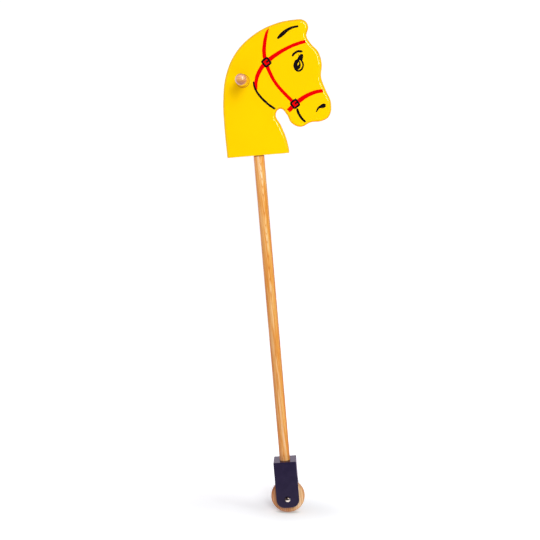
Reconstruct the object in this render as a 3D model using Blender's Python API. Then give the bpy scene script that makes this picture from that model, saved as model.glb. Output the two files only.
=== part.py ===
"""A wheeled hobby horse: a flat horse's head on a stick, a grip bar through the neck, and a small
wheel in a fork block at the foot.

Metres, +Z up along the stick, +X towards the muzzle, and the painted side that is usually seen
faces -Y. The origin is the middle of the grip bar.
"""

from math import cos, pi, radians, sin

import bmesh
import bpy
from mathutils import Vector
from mathutils.geometry import interpolate_bezier

# Clearances
GAP = 0.0003  # between glued or seated faces, and round the axle
WHEEL_ROOF_ROOM = 0.0045  # from the tread to the roof of the slot

# Head board
BOARD_THICKNESS = 0.020
BOARD_ROUND_OVER = 0.006
BASE_EASING = 0.0012
HANDLE_HEIGHT = 0.1355  # grip bar above the board's base
HANDLE_BACKSET = 0.017  # grip bar behind the stick's axis
HOLE_EASING = 0.0014

# Outline of the head, clockwise from the base's rear corner, as (x, z) from the point where the
# stick's axis meets the base. The first and last points are the base's corners.
HEAD_OUTLINE = (
    (-0.0580, 0.0000),  # base, rear corner
    (-0.0584, 0.0555),
    (-0.0562, 0.1035),
    (-0.0470, 0.1485),  # crest of the neck
    (-0.0260, 0.1865),
    (0.0080, 0.2148),
    (0.0450, 0.2303),
    (0.0810, 0.2353),  # poll
    (0.1015, 0.2328),
    (0.1082, 0.2225),  # ear tip
    (0.1039, 0.2050),  # dip under the ear
    (0.1112, 0.1903),
    (0.1226, 0.1760),
    (0.1275, 0.1545),  # forehead
    (0.1247, 0.1305),  # bridge of the nose
    (0.1312, 0.1070),
    (0.1390, 0.0835),  # nose
    (0.1335, 0.0595),
    (0.1210, 0.0528),  # upper lip
    (0.0995, 0.0517),
    (0.0805, 0.0453),  # chin
    (0.0642, 0.0541),
    (0.0576, 0.0690),
    (0.0460, 0.0807),  # top of the throat notch
    (0.0372, 0.0720),
    (0.0450, 0.0510),
    (0.0530, 0.0265),
    (0.0563, 0.0000),  # base, throat corner
)
OUTLINE_STEPS = 6  # straight pieces between two outline points
OUTLINE_FULLNESS = 0.36  # handle length of the curve, as a share of the chord

# Grip bar
HANDLE_DIAMETER = 0.020
HANDLE_REACH = 0.050  # straight length on each side of the board
HANDLE_DOME = 0.0055  # height of each domed end

# Stick and the pin in its top
STICK_DIAMETER = 0.020
STICK_EXPOSED = 0.5855  # between the board and the block
STICK_SEAT = 0.030  # depth in the block
STICK_CHAMFER = 0.0012
PIN_DIAMETER = 0.010
PIN_DEPTH = 0.035  # in the board, and again in the stick
PIN_CHAMFER = 0.001

# Fork block
BLOCK_WIDTH = 0.044
BLOCK_DEPTH = 0.038
BLOCK_FOOT_RADIUS = 0.016
BLOCK_EASING = 0.0012
CHEEK_THICKNESS = 0.0095
AXLE_DROP = 0.074  # axle below the block's top
AXLE_TO_FOOT = 0.018  # axle above the block's foot

# Wheel and axle
WHEEL_DIAMETER = 0.065
WHEEL_TREAD_ROUND = 0.0055
AXLE_DIAMETER = 0.005
WASHER_DIAMETER = 0.014
WASHER_THICKNESS = 0.0009
CAP_DIAMETER = 0.011
CAP_HEIGHT = 0.0045
CAP_GRIP = 0.0026  # length of axle inside each cap
CAP_EASING = 0.0006

# Fineness of the round pieces
FINE_SIDES = 48
ROUND_SIDES = 32
SMALL_SIDES = 24
ARC_STEPS = 5
CUTTER_OVERRUN = 0.004

STICK_X = HANDLE_BACKSET
BASE_Z = -HANDLE_HEIGHT
BLOCK_TOP_Z = BASE_Z - STICK_EXPOSED - GAP
SLOT_WIDTH = BLOCK_DEPTH - 2 * CHEEK_THICKNESS
WHEEL_WIDTH = SLOT_WIDTH - 2 * (WASHER_THICKNESS + 2 * GAP)
SMOOTH_ANGLE = radians(35)


def clear_scene():
    for obj in list(bpy.data.objects):
        bpy.data.objects.remove(obj, do_unlink=True)


def linear(red, green, blue):
    """Eight-bit display colour as the linear RGBA that a material takes."""

    def channel(value):
        value /= 255
        return value / 12.92 if value <= 0.04045 else ((value + 0.055) / 1.055) ** 2.4

    return (channel(red), channel(green), channel(blue), 1.0)


def paint(obj, colour, roughness, metallic=0.0):
    """Gives the object a material of its own."""
    material = bpy.data.materials.new(obj.name + "_finish")
    material.use_nodes = True
    shader = material.node_tree.nodes["Principled BSDF"]
    shader.inputs["Base Color"].default_value = linear(*colour)
    shader.inputs["Roughness"].default_value = roughness
    shader.inputs["Metallic"].default_value = metallic
    material.diffuse_color = linear(*colour)
    obj.data.materials.append(material)


def node(name, bm, parent, location=(0, 0, 0), along_y=False):
    """Turns a bmesh into an object under its parent. along_y lays its local Z along +Y."""
    bmesh.ops.recalc_face_normals(bm, faces=bm.faces)
    mesh = bpy.data.meshes.new(name)
    bm.to_mesh(mesh)
    bm.free()
    mesh.shade_smooth()
    mesh.set_sharp_from_angle(angle=SMOOTH_ANGLE)
    obj = bpy.data.objects.new(name, mesh)
    bpy.context.scene.collection.objects.link(obj)
    obj.parent = parent
    obj.location = location
    if along_y:
        obj.rotation_euler = (-pi / 2, 0, 0)
    return obj


def empty(name, parent=None, location=(0, 0, 0)):
    obj = bpy.data.objects.new(name, None)
    bpy.context.scene.collection.objects.link(obj)
    obj.empty_display_size = 0.02
    obj.parent = parent
    obj.location = location
    return obj


def cut(obj, cutter):
    """Subtracts the cutter, which stays in the file as a wire guide."""
    cutter.hide_render = True
    cutter.display_type = "WIRE"
    boolean = obj.modifiers.new("cut_" + cutter.name, "BOOLEAN")
    boolean.operation = "DIFFERENCE"
    boolean.solver = "EXACT"
    boolean.object = cutter


def ease_edges(obj, width, angle):
    bevel = obj.modifiers.new("eased_edges", "BEVEL")
    bevel.width = width
    bevel.segments = 2
    bevel.limit_method = "ANGLE"
    bevel.angle_limit = angle
    bevel.use_clamp_overlap = False


def turned(profile, sides):
    """A bmesh turned round Z from (radius, height) points.

    A profile that starts and ends on the axis gives a solid piece, and any other one is closed on
    itself and gives a ring with a through hole.
    """
    bm = bmesh.new()
    rings = []
    for radius, height in profile:
        if radius == 0:
            rings.append([bm.verts.new((0, 0, height))] * sides)
            continue
        rings.append(
            [
                bm.verts.new(
                    (radius * cos(2 * pi * i / sides), radius * sin(2 * pi * i / sides), height)
                )
                for i in range(sides)
            ]
        )
    solid = profile[0][0] == 0
    followers = rings[1:] if solid else rings[1:] + rings[:1]
    for lower, upper in zip(rings, followers):
        for i in range(sides):
            j = (i + 1) % sides
            corners = []
            for vert in (lower[i], lower[j], upper[j], upper[i]):
                if vert not in corners:
                    corners.append(vert)
            bm.faces.new(corners)
    return bm


def arc(centre, radius, start, end, steps=ARC_STEPS):
    """Points along an arc, angles in degrees anticlockwise from the first axis."""
    turn = [radians(start + (end - start) * i / steps) for i in range(steps + 1)]
    return [(centre[0] + radius * cos(a), centre[1] + radius * sin(a)) for a in turn]


def dome(radius, base, height):
    """Profile of a domed end, from its rim at the base to its top on the axis."""
    rise = [(radius * along, base + height * up) for along, up in arc((0, 0), 1, 0, 90)]
    return rise[:-1] + [(0, base + height)]


def cylinder_cutter(name, parent, radius, low, high, sides, location=(0, 0, 0), along_y=False):
    bm = turned([(0, low), (radius, low), (radius, high), (0, high)], sides)
    return node(name, bm, parent, location, along_y)


def box_cutter(name, parent, size, location):
    bm = bmesh.new()
    bmesh.ops.create_cube(bm, size=1.0)
    bmesh.ops.scale(bm, vec=size, verts=bm.verts)
    return node(name, bm, parent, location)


def smooth_outline(anchors):
    """Points and outward normals along one smooth curve, upright at both ends."""
    points = [Vector(anchor) for anchor in anchors]
    chords = [(b - a) for a, b in zip(points, points[1:])]
    ways = [(a.normalized() + b.normalized()).normalized() for a, b in zip(chords, chords[1:])]
    ways = [Vector((0, 1))] + ways + [Vector((0, -1))]
    curve = []
    for i, chord in enumerate(chords):
        handle = chord.length * OUTLINE_FULLNESS
        stretch = interpolate_bezier(
            points[i].to_3d(),
            (points[i] + ways[i] * handle).to_3d(),
            (points[i + 1] - ways[i + 1] * handle).to_3d(),
            points[i + 1].to_3d(),
            OUTLINE_STEPS + 1,
        )
        curve += [point.to_2d() for point in stretch[:-1]]
    curve.append(points[-1])
    normals = []
    for i in range(len(curve)):
        if i == 0 or i == len(curve) - 1:
            normals.append(Vector((-1 if i == 0 else 1, 0)))
            continue
        way = curve[i + 1] - curve[i - 1]
        normals.append(Vector((-way.y, way.x)).normalized())
    return curve, normals


def board_layers():
    """Depth of each outline ring from the board's middle, and how far it is inset."""
    round_over = min(BOARD_ROUND_OVER, BOARD_THICKNESS / 2 - GAP)
    quarter = [
        (BOARD_THICKNESS / 2 - round_over + across, round_over - along)
        for along, across in arc((0, 0), round_over, 90, 0)
    ]
    return [(-depth, inset) for depth, inset in quarter] + quarter[::-1]


def make_head_board(frame):
    curve, normals = smooth_outline(HEAD_OUTLINE)
    bm = bmesh.new()
    rings = []
    for depth, inset in board_layers():
        inner = [point - normal * inset for point, normal in zip(curve, normals)]
        rings.append([bm.verts.new((point.x, depth, point.y)) for point in inner])
    count = len(curve)
    for near, far in zip(rings, rings[1:]):
        for i in range(count - 1):
            bm.faces.new((near[i], near[i + 1], far[i + 1], far[i]))
    bm.faces.new(rings[0])
    bm.faces.new(rings[-1])
    bm.faces.new([ring[0] for ring in rings] + [ring[-1] for ring in reversed(rings)])
    board = node("head_board", bm, frame, (STICK_X, 0, BASE_Z))
    ease_edges(board, BASE_EASING, radians(50))

    bore = HANDLE_DIAMETER / 2 + GAP
    mouth = BOARD_THICKNESS / 2
    flare = bore + HOLE_EASING + CUTTER_OVERRUN
    profile = [
        (0, -mouth - CUTTER_OVERRUN),
        (flare, -mouth - CUTTER_OVERRUN),
        (bore, -mouth + HOLE_EASING),
        (bore, mouth - HOLE_EASING),
        (flare, mouth + CUTTER_OVERRUN),
        (0, mouth + CUTTER_OVERRUN),
    ]
    grip_cutter = node("grip_hole_cutter", turned(profile, ROUND_SIDES), frame, along_y=True)
    cut(board, grip_cutter)
    pin_cutter = cylinder_cutter(
        "board_pin_hole_cutter",
        frame,
        PIN_DIAMETER / 2 + GAP,
        -CUTTER_OVERRUN,
        PIN_DEPTH + GAP,
        SMALL_SIDES,
        (STICK_X, 0, BASE_Z),
    )
    cut(board, pin_cutter)
    paint(board, (255, 214, 0), 0.22)


def make_handle(frame):
    radius = HANDLE_DIAMETER / 2
    upper = dome(radius, BOARD_THICKNESS / 2 + HANDLE_REACH, HANDLE_DOME)
    lower = [(r, -h) for r, h in reversed(upper)]
    handle = node("handle_dowel", turned(lower + upper, ROUND_SIDES), frame, along_y=True)
    paint(handle, (226, 172, 118), 0.35)


def make_stick(frame):
    radius = STICK_DIAMETER / 2
    length = STICK_SEAT + STICK_EXPOSED - GAP
    hole = PIN_DIAMETER / 2 + GAP
    floor = length - PIN_DEPTH - GAP
    profile = [
        (0, 0),
        (radius - STICK_CHAMFER, 0),
        (radius, STICK_CHAMFER),
        (radius, length - STICK_CHAMFER),
        (radius - STICK_CHAMFER, length),
        (hole, length),
        (hole, floor),
        (0, floor),
    ]
    foot = (STICK_X, 0, BASE_Z - GAP - length)
    stick = node("stick", turned(profile, ROUND_SIDES), frame, foot)
    paint(stick, (222, 160, 92), 0.38)


def make_neck_pin(frame):
    radius = PIN_DIAMETER / 2
    half = PIN_DEPTH
    upper = [(radius, half - PIN_CHAMFER), (radius - PIN_CHAMFER, half), (0, half)]
    lower = [(r, -h) for r, h in reversed(upper)]
    middle = (STICK_X, 0, BASE_Z - GAP / 2)
    pin = node("neck_pin", turned(lower + upper, SMALL_SIDES), frame, middle)
    paint(pin, (205, 165, 115), 0.6)


def make_wheel_block(fork):
    """The outline in X and Z, with a rounded foot, extruded through the depth."""
    half = BLOCK_WIDTH / 2
    foot = -AXLE_DROP - AXLE_TO_FOOT
    radius = min(BLOCK_FOOT_RADIUS, half - BLOCK_EASING)
    corner = foot + radius
    outline = [(-half, 0)]
    outline += arc((-half + radius, corner), radius, 180, 270)
    outline += arc((half - radius, corner), radius, 270, 360)
    outline.append((half, 0))
    bm = bmesh.new()
    front = bm.faces.new([bm.verts.new((x, -BLOCK_DEPTH / 2, z)) for x, z in outline])
    grown = bmesh.ops.extrude_face_region(bm, geom=[front])
    moved = [item for item in grown["geom"] if isinstance(item, bmesh.types.BMVert)]
    bmesh.ops.translate(bm, vec=(0, BLOCK_DEPTH, 0), verts=moved)
    block = node("wheel_block", bm, fork)
    ease_edges(block, BLOCK_EASING, radians(40))

    roof = -AXLE_DROP + WHEEL_DIAMETER / 2 + WHEEL_ROOF_ROOM
    floor = foot - CUTTER_OVERRUN
    slot_size = (BLOCK_WIDTH + 2 * CUTTER_OVERRUN, SLOT_WIDTH, roof - floor)
    cut(block, box_cutter("slot_cutter", fork, slot_size, (0, 0, (roof + floor) / 2)))
    seat_cutter = cylinder_cutter(
        "stick_seat_cutter",
        fork,
        STICK_DIAMETER / 2 + GAP,
        -STICK_SEAT - GAP,
        CUTTER_OVERRUN,
        ROUND_SIDES,
    )
    cut(block, seat_cutter)
    reach = BLOCK_DEPTH / 2 + CUTTER_OVERRUN
    axle_cutter = cylinder_cutter(
        "axle_hole_cutter",
        fork,
        AXLE_DIAMETER / 2 + GAP,
        -reach,
        reach,
        SMALL_SIDES,
        (0, 0, -AXLE_DROP),
        along_y=True,
    )
    cut(block, axle_cutter)
    paint(block, (45, 38, 64), 0.25)


def make_wheel(axle_frame):
    radius = WHEEL_DIAMETER / 2
    half = WHEEL_WIDTH / 2
    bore = AXLE_DIAMETER / 2 + GAP
    rounding = min(WHEEL_TREAD_ROUND, half - GAP)
    rim = arc((radius - rounding, -half + rounding), rounding, -90, 0)
    rim += arc((radius - rounding, half - rounding), rounding, 0, 90)
    profile = [(bore, -half)] + rim + [(bore, half)]
    wheel = node("wheel", turned(profile, FINE_SIDES), axle_frame, along_y=True)
    paint(wheel, (214, 160, 106), 0.45)


def make_washers(axle_frame):
    bore = AXLE_DIAMETER / 2 + GAP
    half = WASHER_THICKNESS / 2
    radius = WASHER_DIAMETER / 2
    centre = WHEEL_WIDTH / 2 + GAP + half
    for name, side in (("washer_front", -1), ("washer_rear", 1)):
        profile = [(bore, -half), (radius, -half), (radius, half), (bore, half)]
        bm = turned(profile, SMALL_SIDES)
        washer = node(name, bm, axle_frame, (0, side * centre, 0), along_y=True)
        paint(washer, (190, 190, 188), 0.3, 1.0)


def make_axle(axle_frame):
    radius = AXLE_DIAMETER / 2
    half = BLOCK_DEPTH / 2 + GAP + CAP_GRIP
    profile = [(0, -half), (radius, -half), (radius, half), (0, half)]
    axle = node("axle", turned(profile, SMALL_SIDES), axle_frame, along_y=True)
    paint(axle, (176, 178, 180), 0.3, 1.0)


def make_axle_caps(axle_frame):
    """Domed caps, open towards the block, each pushed over an end of the axle."""
    radius = CAP_DIAMETER / 2
    bore = AXLE_DIAMETER / 2 + GAP
    profile = [(0, CAP_GRIP + GAP), (bore, CAP_GRIP + GAP), (bore, 0), (radius - CAP_EASING, 0)]
    profile += dome(radius, CAP_EASING, CAP_HEIGHT - CAP_EASING)
    seat = BLOCK_DEPTH / 2 + GAP
    for name, side in (("axle_cap_front", -1), ("axle_cap_rear", 1)):
        bm = turned([(r, h * side) for r, h in profile], SMALL_SIDES)
        cap = node(name, bm, axle_frame, (0, side * seat, 0), along_y=True)
        paint(cap, (214, 212, 214), 0.12, 1.0)


clear_scene()
frame = empty("hobby_horse_frame")
fork = empty("fork_frame", frame, (STICK_X, 0, BLOCK_TOP_Z))
axle_frame = empty("axle_frame", fork, (0, 0, -AXLE_DROP))
make_head_board(frame)
make_handle(frame)
make_stick(frame)
make_neck_pin(frame)
make_wheel_block(fork)
make_wheel(axle_frame)
make_washers(axle_frame)
make_axle(axle_frame)
make_axle_caps(axle_frame)
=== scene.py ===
import math
import bpy
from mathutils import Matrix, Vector


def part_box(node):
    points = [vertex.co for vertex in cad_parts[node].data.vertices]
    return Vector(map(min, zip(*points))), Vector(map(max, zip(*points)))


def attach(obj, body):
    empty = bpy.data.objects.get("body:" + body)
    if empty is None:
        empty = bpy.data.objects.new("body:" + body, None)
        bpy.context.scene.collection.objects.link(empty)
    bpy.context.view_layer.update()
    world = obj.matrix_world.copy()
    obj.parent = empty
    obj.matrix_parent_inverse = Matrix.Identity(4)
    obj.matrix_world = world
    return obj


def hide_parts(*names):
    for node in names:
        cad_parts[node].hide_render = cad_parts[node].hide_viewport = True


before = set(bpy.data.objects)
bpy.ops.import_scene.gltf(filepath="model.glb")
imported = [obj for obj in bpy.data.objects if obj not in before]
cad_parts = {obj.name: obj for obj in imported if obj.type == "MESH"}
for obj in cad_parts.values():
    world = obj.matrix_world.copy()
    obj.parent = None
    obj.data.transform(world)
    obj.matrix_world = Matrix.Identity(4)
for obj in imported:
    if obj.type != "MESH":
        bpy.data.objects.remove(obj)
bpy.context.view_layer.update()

mm = 0.001

# Places that the pieces take from the frame
boardLow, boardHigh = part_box("head_board")
gripLow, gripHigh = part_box("handle_dowel")
stickLow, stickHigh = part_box("stick")
pinLow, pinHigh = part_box("neck_pin")
blockLow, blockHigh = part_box("wheel_block")
wheelLow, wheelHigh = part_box("wheel")
axleLow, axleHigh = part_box("axle")
boardFace = boardHigh.y  # half the board's thickness, because its middle is at y = 0
gripRadius = (gripHigh.x - gripLow.x) / 2
stickRadius = (stickHigh.x - stickLow.x) / 2
stickX = (stickHigh.x + stickLow.x) / 2
pinRadius = (pinHigh.x - pinLow.x) / 2
axleRadius = (axleHigh.x - axleLow.x) / 2
axleZ = (axleHigh.z + axleLow.z) / 2
wheelRadius = (wheelHigh.x - wheelLow.x) / 2
wheelHalf = wheelHigh.y
seam = 0.3 * mm  # clearance between pieces, as in the frame
glueLine = 0.03 * mm  # what is left of it where pieces are glued

touching = 0.01 * mm  # places closer than this count as the same
weldGap = 0.002 * mm  # points closer than this are merged
roundSteps = 96  # steps round a turned piece
smallRoundSteps = 64  # and round a small one
holeSteps = 48  # and round a drilled hole
print("frame read")


# Working by hand: selecting, cutting and finishing

def leaveEditing():
    if bpy.context.object is not None and bpy.context.object.mode != "OBJECT":
        bpy.ops.object.mode_set(mode="OBJECT")
    bpy.ops.object.select_all(action="DESELECT")


def takeUp(piece):
    leaveEditing()
    piece.select_set(True)
    bpy.context.view_layer.objects.active = piece


def editAll(piece):  # edit mode with every vertex selected
    takeUp(piece)
    bpy.ops.object.mode_set(mode="EDIT")
    bpy.ops.mesh.select_mode(type="VERT")
    bpy.ops.mesh.select_all(action="SELECT")


def pick(kind, rule):  # selects the verts or edges of the active piece that a rule takes
    bpy.ops.object.mode_set(mode="EDIT")
    bpy.ops.mesh.select_mode(type=kind)
    bpy.ops.mesh.select_all(action="DESELECT")
    bpy.ops.object.mode_set(mode="OBJECT")
    mesh = bpy.context.object.data
    for part in {"VERT": mesh.vertices, "EDGE": mesh.edges}[kind]:
        part.select = rule(part)
    bpy.ops.object.mode_set(mode="EDIT")


def ends(edge):
    mesh = bpy.context.object.data
    return [mesh.vertices[i].co for i in edge.vertices]


def applyPlace(piece):
    takeUp(piece)
    bpy.ops.object.transform_apply(location=True, rotation=True, scale=True)


def tidyMesh(piece):
    editAll(piece)
    bpy.ops.mesh.remove_doubles(threshold=weldGap)
    bpy.ops.mesh.normals_make_consistent(inside=False)
    bpy.ops.object.mode_set(mode="OBJECT")


def cutAway(piece, cutter):
    takeUp(piece)
    bpy.ops.object.modifier_add(type="BOOLEAN")
    cut = piece.modifiers[-1]
    cut.operation = "DIFFERENCE"
    cut.solver = "EXACT"
    cut.object = cutter
    bpy.ops.object.modifier_apply(modifier=cut.name)
    takeUp(cutter)
    bpy.ops.object.delete()
    takeUp(piece)


def turnOnLathe(profile, centre, steps=roundSteps):  # about a line along Y through the centre
    # the profile is (radius, along the line) from end to end, and a ring's profile is closed
    points = [Vector(centre) + Vector((radius, along, 0)) for radius, along in profile]
    if profile[0][0] > 0:
        points.append(points[0])
    leaveEditing()
    bpy.ops.mesh.primitive_plane_add(size=mm, location=points[0])
    piece = bpy.context.object
    applyPlace(piece)
    editAll(piece)
    bpy.ops.mesh.merge(type="CENTER")
    for here, there in zip(points, points[1:]):
        bpy.ops.mesh.extrude_region_move(TRANSFORM_OT_translate={"value": there - here})
    bpy.ops.mesh.select_all(action="SELECT")
    bpy.ops.mesh.spin(steps=steps, angle=math.tau, center=centre, axis=(0, 1, 0))
    bpy.ops.object.mode_set(mode="OBJECT")
    tidyMesh(piece)
    return piece


def arcPoints(centre, radius, start, end, steps):  # angles in degrees, from out along the radius
    angles = [math.radians(start + (end - start) * i / steps) for i in range(steps + 1)]
    return [(centre[0] + radius * math.cos(a), centre[1] + radius * math.sin(a)) for a in angles]


def rod(radius, low, high, axis="Z", sides=roundSteps):  # low and high are the ends' middles
    turn = {"Z": (0, 0, 0), "Y": (math.pi / 2, 0, 0)}[axis]
    leaveEditing()
    bpy.ops.mesh.primitive_cylinder_add(
        vertices=sides, radius=radius, depth=(high - low).length,
        location=(low + high) / 2, rotation=turn)
    piece = bpy.context.object
    applyPlace(piece)
    return piece


def easeEnds(piece, low, high, width, steps):  # bevels the round edges at an upright rod's two ends
    takeUp(piece)
    pick("EDGE", lambda edge: all(abs(end.z - low) < touching for end in ends(edge))
         or all(abs(end.z - high) < touching for end in ends(edge)))
    bpy.ops.mesh.bevel(offset=width, segments=steps, profile=0.5, affect="EDGES")
    bpy.ops.object.mode_set(mode="OBJECT")


def keepFlatsFlat(piece):  # large flats keep their own normals beside rounded edges
    takeUp(piece)
    bpy.ops.object.modifier_add(type="WEIGHTED_NORMAL")
    weighted = piece.modifiers[-1]
    weighted.keep_sharp = True
    weighted.weight = 50  # by area alone
    bpy.ops.object.modifier_apply(modifier=weighted.name)


def finishPiece(piece, name, body, finish, node, smooth, weigh=False):
    applyPlace(piece)
    bpy.ops.object.shade_smooth_by_angle(angle=math.radians(smooth))
    if weigh:
        keepFlatsFlat(piece)
    piece.name = name
    piece.data.name = name
    piece.data.materials.clear()
    piece.data.materials.append(finish)
    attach(piece, body)
    if node:
        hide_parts(node)
    leaveEditing()
    print("made", name)


# Finishes
plainDetail, softDetail, fineDetail = 1.0, 2.0, 3.0  # how finely a noise is broken up
noiseLow, noiseHigh = 0.3, 0.7  # nearly all of a noise lies between these


def displayColour(red, green, blue):  # eight-bit display colour as a shader takes it
    channels = [value / 255 for value in (red, green, blue)]
    return tuple(c / 12.92 if c <= 0.04045 else ((c + 0.055) / 1.055) ** 2.4 for c in channels) + (1,)


def startFinish(name, colour, roughness, metallic=0.0):
    finish = bpy.data.materials.new(name)
    finish.use_nodes = True
    finish.diffuse_color = colour
    tree = finish.node_tree
    shader = tree.nodes["Principled BSDF"]
    shader.inputs["Base Color"].default_value = colour
    shader.inputs["Roughness"].default_value = roughness
    shader.inputs["Metallic"].default_value = metallic
    return finish, tree, shader


def addNode(tree, kind, **settings):
    node = tree.nodes.new("ShaderNode" + kind)
    for key, value in settings.items():
        setattr(node, key, value)
    return node


def plugIn(tree, sockets, values):  # a value is another node's output, or a plain number or colour
    for socket, value in zip(sockets, values):
        if isinstance(value, bpy.types.NodeSocket):
            tree.links.new(value, socket)
        else:
            socket.default_value = value


def objectPlace(tree, place=(0, 0, 0), turn=(0, 0, 0)):
    coordinates = addNode(tree, "TexCoord")
    mapping = addNode(tree, "Mapping")
    mapping.inputs["Location"].default_value = place
    mapping.inputs["Rotation"].default_value = [math.radians(angle) for angle in turn]
    tree.links.new(coordinates.outputs["Object"], mapping.inputs["Vector"])
    return mapping.outputs["Vector"]


def splitAxes(tree, vector):
    node = addNode(tree, "SeparateXYZ")
    tree.links.new(vector, node.inputs["Vector"])
    return node.outputs


def surfaceFacing(tree):  # the way that the surface faces, by axis, and how far it faces front or back
    facing = splitAxes(tree, addNode(tree, "TexCoord").outputs["Normal"])
    return facing, numberMath(tree, "ABSOLUTE", facing["Y"])


def numberMath(tree, how, *values):
    node = addNode(tree, "Math", operation=how)
    plugIn(tree, node.inputs, values)
    return node.outputs["Value"]


def vectorMath(tree, how, *values):
    node = addNode(tree, "VectorMath", operation=how)
    plugIn(tree, node.inputs, values)
    return node.outputs["Value" if how in ("LENGTH", "DOT_PRODUCT") else "Vector"]


def noise(tree, place, pitch, detail=softDetail, roughness=0.5, output="Fac"):  # pitch per metre, or by axis
    if isinstance(pitch, tuple):
        place, pitch = vectorMath(tree, "MULTIPLY", place, pitch), 1.0
    texture = addNode(tree, "TexNoise")
    sockets = [texture.inputs[key] for key in ("Vector", "Scale", "Detail", "Roughness")]
    plugIn(tree, sockets, (place, pitch, detail, roughness))
    return texture.outputs[output]


def ramp(tree, factor, stops):  # stops are (position, colour)
    node = addNode(tree, "ValToRGB")
    elements = node.color_ramp.elements
    while len(elements) < len(stops):
        elements.new(0.5)
    for element, (position, colour) in zip(elements, stops):
        element.position = position
        element.color = tuple(colour[:3]) + (1,)
    tree.links.new(factor, node.inputs["Fac"])
    return node.outputs["Color"]


def spread(tree, value, fromLow, fromHigh, toLow, toHigh):
    node = addNode(tree, "MapRange")
    sockets = [node.inputs[key] for key in ("Value", "From Min", "From Max", "To Min", "To Max")]
    plugIn(tree, sockets, (value, fromLow, fromHigh, toLow, toHigh))
    return node.outputs["Result"]


def fade(tree, value, low, high):  # a share, whole below low and none above high
    return spread(tree, value, low, high, 1.0, 0.0)


def vary(tree, pattern, low, high):  # a number that follows a noise
    return spread(tree, pattern, noiseLow, noiseHigh, low, high)


def varyColour(tree, pattern, low, high):
    return ramp(tree, pattern, ((noiseLow, low), (noiseHigh, high)))


def blendColours(tree, factor, first, second, how="MIX"):
    node = addNode(tree, "Mix", data_type="RGBA", blend_type=how)
    plugIn(tree, (node.inputs[0], node.inputs[6], node.inputs[7]), (factor, first, second))
    return node.outputs[2]


def blendNumbers(tree, factor, first, second):
    node = addNode(tree, "Mix", data_type="FLOAT")
    plugIn(tree, (node.inputs[0], node.inputs[2], node.inputs[3]), (factor, first, second))
    return node.outputs[0]


def raiseSurface(tree, shader, height, strength, distance, under=None):
    bump = addNode(tree, "Bump")
    bump.inputs["Strength"].default_value = strength
    bump.inputs["Distance"].default_value = distance
    tree.links.new(height, bump.inputs["Height"])
    if under is not None:
        tree.links.new(under, bump.inputs["Normal"])
    tree.links.new(bump.outputs["Normal"], shader.inputs["Normal"])
    return bump.outputs["Normal"]


# Solid wood: growth rings round a pith line that wanders beside the piece, fibres and pores
woodLook = {
    "wanderDetail": (softDetail, 0.45), "strandDetail": (fineDetail, 0.6), "cloudPitch": (45, 45, 7),
    "growth": ((0.0, "middle"), (0.10, "light"), (0.50, "light"), (0.80, "middle"), (0.93, "dark"),
               (1.0, "dark")),
    "streak": ((0.38, (0.92, 0.70, 0.36)), (0.5, (1, 1, 1)), (0.62, (1.04, 1.28, 2.10))),
    "porePitch": (2600, 2600, 130), "pore": ((0.62, (0, 0, 0)), (0.70, (1, 1, 1))),
    "poreColour": (0.62, 0.48, 0.34, 1), "strandHeight": (0.12, 0.05 * mm), "poreDepth": (0.3, -0.03 * mm),
    "duller": 0.08, "glossier": 0.05,  # change of gloss between dark and light strands
}


def bowedPlace(tree, place, bow):  # the pith runs away from the piece above and below one height
    rising = splitAxes(tree, vectorMath(tree, "SUBTRACT", place, (0, 0, bow["nearest"])))["Z"]
    away = addNode(tree, "CombineXYZ")
    plugIn(tree, away.inputs, (rising, numberMath(tree, "MULTIPLY", rising, rising)))
    shift = vectorMath(tree, "MULTIPLY", away.outputs["Vector"], (bow["lean"], bow["curve"], 0))
    return vectorMath(tree, "SUBTRACT", place, shift)


def growthRings(tree, place, wood):
    wander = noise(tree, place, wood["wanderPitch"], *woodLook["wanderDetail"], "Color")
    wander = vectorMath(tree, "SUBTRACT", wander, (0.5, 0.5, 0.5))
    wander = vectorMath(tree, "MULTIPLY", wander, (wood["wander"], wood["wander"], 0))
    rings = addNode(tree, "TexWave", wave_type="RINGS", rings_direction="Z", wave_profile="SAW")
    rings.inputs["Scale"].default_value = math.tau / (20 * wood["ringGap"])  # as this texture counts
    tree.links.new(vectorMath(tree, "ADD", place, wander), rings.inputs["Vector"])
    return ramp(tree, rings.outputs["Fac"], [(spot, wood[tone]) for spot, tone in woodLook["growth"]])


def gripColours(tree, wood, facing, flat, tinted, plain):  # painted reflections: a rim on the domed ends, lilac facing left and orange facing right, and the board's yellow on the bar near it
    grip = wood["grip"]
    across = spread(tree, facing["X"], -1.0, 1.0, 0.0, 1.0)
    rimShare = spread(tree, flat, *grip["rimSpan"], grip["rimShare"], 0.0)
    dome = blendColours(tree, rimShare, tinted, ramp(tree, across, grip["rim"]))
    fromMiddle = numberMath(tree, "ABSOLUTE", splitAxes(tree, objectPlace(tree))["Y"])
    nearBoard = spread(tree, fromMiddle, *grip["boardReflectionSpan"], 1.0, grip["boardReflectionLeast"])
    bar = blendColours(tree, nearBoard, plain, grip["boardReflection"], "MULTIPLY")
    return blendColours(tree, fade(tree, flat, *grip["barSpan"]), dome, bar)


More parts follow.
